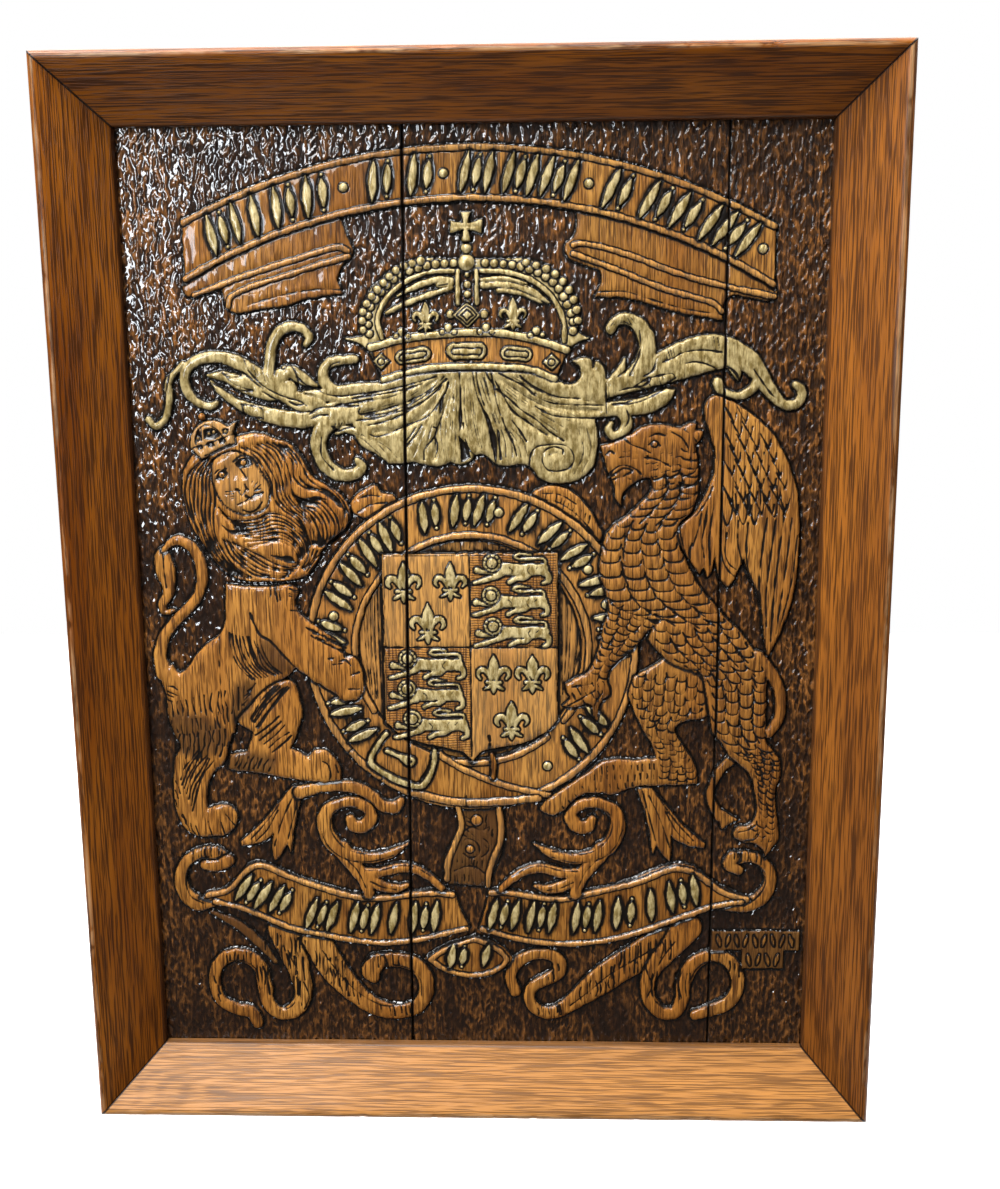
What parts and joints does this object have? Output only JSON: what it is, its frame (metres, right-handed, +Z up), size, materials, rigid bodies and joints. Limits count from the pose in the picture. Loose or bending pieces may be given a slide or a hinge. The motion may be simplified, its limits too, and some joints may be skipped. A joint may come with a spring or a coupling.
{
  "type": "carved heraldic wall panel",
  "caption": "Upright carved and burnt oak panel of three boards with a crowned shield between a lion and a dragon, in a wide bevelled frame with mitred corners.",
  "frame": {"origin": "on the flat back of the top rail at mid width, 25 mm below the rail's top edge, where the panel hangs from the wall", "axes": "+Z up along the panel's height, +X to the right as seen from the front, +Y back towards the wall; the carved face looks along -Y"},
  "size_m": [0.66, 0.062, 0.874],
  "materials": {
    "carved_oak": "carved, burnt dark on its ground, gilt in part, varnished",
    "frame_oak": "stained and varnished, satin to gloss"
  },
  "bodies": {
    "root": {"board_left": "carved_oak", "board_middle": "carved_oak", "board_right": "carved_oak", "frame_top": "frame_oak", "frame_bottom": "frame_oak", "frame_left": "frame_oak", "frame_right": "frame_oak"}
  },
  "joints": []
}
